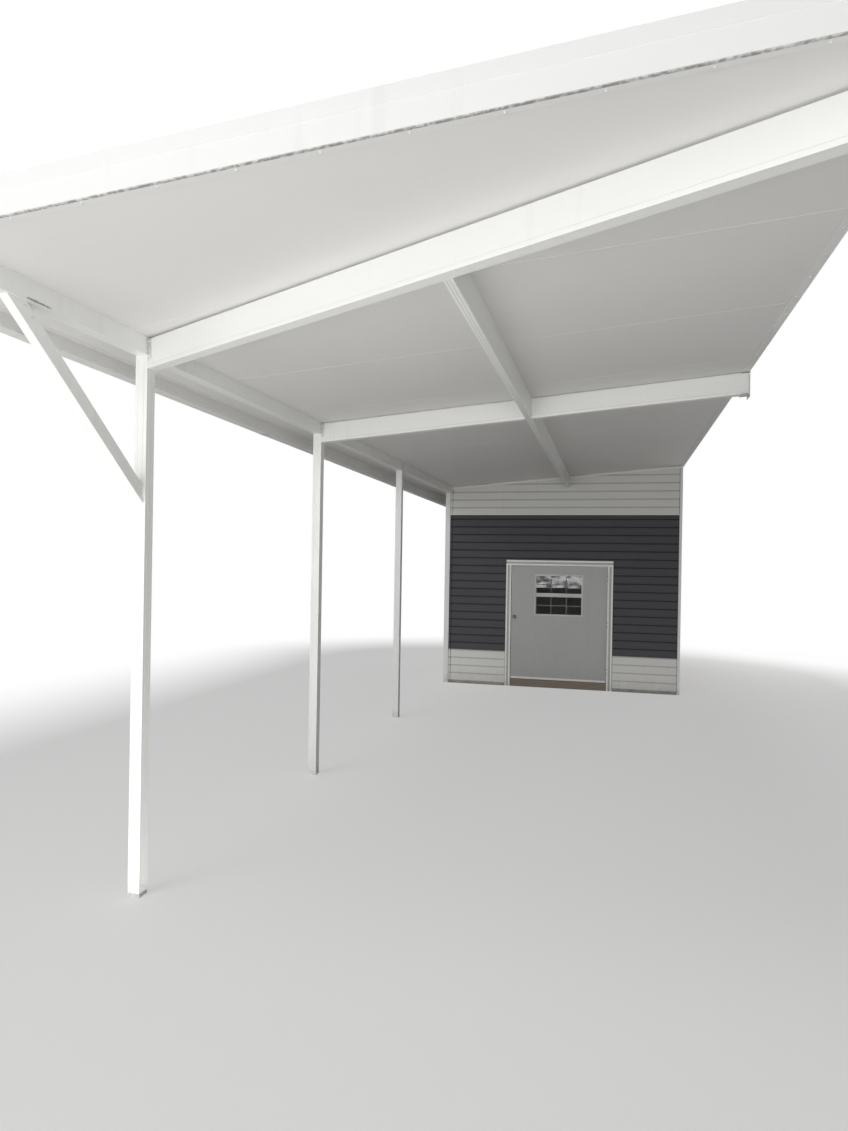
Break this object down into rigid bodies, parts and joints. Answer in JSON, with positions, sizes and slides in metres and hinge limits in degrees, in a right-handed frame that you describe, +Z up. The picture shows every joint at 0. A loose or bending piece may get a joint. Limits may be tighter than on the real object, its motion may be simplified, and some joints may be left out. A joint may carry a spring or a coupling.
{
  "type": "attached carport with storage room",
  "caption": "Lean-to carport on slim posts with a panel roof, beams and gutter, closed at the rear by a sided storage room with a hinged door.",
  "frame": {"origin": "middle of the plan at ground level, where the ground is lowest", "axes": "+X from the eave to the house side, +Y from the open front to the storage room, +Z up"},
  "size_m": [4.1856, 12.206, 3.705],
  "materials": {
    "roof_metal": "satin",
    "edge_metal": "satin",
    "gutter_metal": "satin",
    "frame_metal": "satin",
    "siding": "matt, white above and below",
    "trim": "satin",
    "floor_board": "bare",
    "timber": "weathered",
    "door_paint": "satin",
    "window_frame": "satin",
    "glass": "clear",
    "hinge_metal": "satin",
    "knob_metal": "worn"
  },
  "bodies": {
    "carport": {"roof_panel_01": "roof_metal", "roof_panel_02": "roof_metal", "roof_panel_03": "roof_metal", "roof_panel_04": "roof_metal", "roof_panel_05": "roof_metal", "roof_panel_06": "roof_metal", "roof_panel_07": "roof_metal", "roof_panel_08": "roof_metal", "roof_panel_09": "roof_metal", "roof_panel_10": "roof_metal", "front_fascia": "edge_metal", "rear_fascia": "edge_metal", "edge_trims": "edge_metal", "eave_fascia": "edge_metal", "ledger_channel": "edge_metal", "gutter": "gutter_metal", "downspout": "gutter_metal", "gutter_straps": "gutter_metal", "front_post": "frame_metal", "middle_post": "frame_metal", "rear_post": "frame_metal", "eave_beam": "frame_metal", "front_beam": "frame_metal", "middle_beam_left": "frame_metal", "middle_beam_right": "frame_metal", "purlin": "frame_metal", "knee_brace": "frame_metal", "beam_brackets": "frame_metal", "front_wall_left": "siding", "front_wall_right": "siding", "front_wall_over_door": "siding", "left_wall": "siding", "party_wall": "siding", "rear_wall": "siding", "corner_trims": "trim", "door_jambs": "trim", "door_head": "trim", "storage_floor": "floor_board", "door_sill": "timber", "frame_hinges": "hinge_metal"},
    "door": {"door_leaf": "door_paint", "door_window_frame": "window_frame", "door_glass": "glass", "door_hinges": "hinge_metal", "door_knob": "knob_metal"}
  },
  "joints": [
    {"name": "door_hinge", "type": "hinge", "parent": "carport", "child": "door", "pos_m": [0.9697, 3.6765, 1], "axis": [0, 0, 1], "range_deg": [0, 105]}
  ]
}
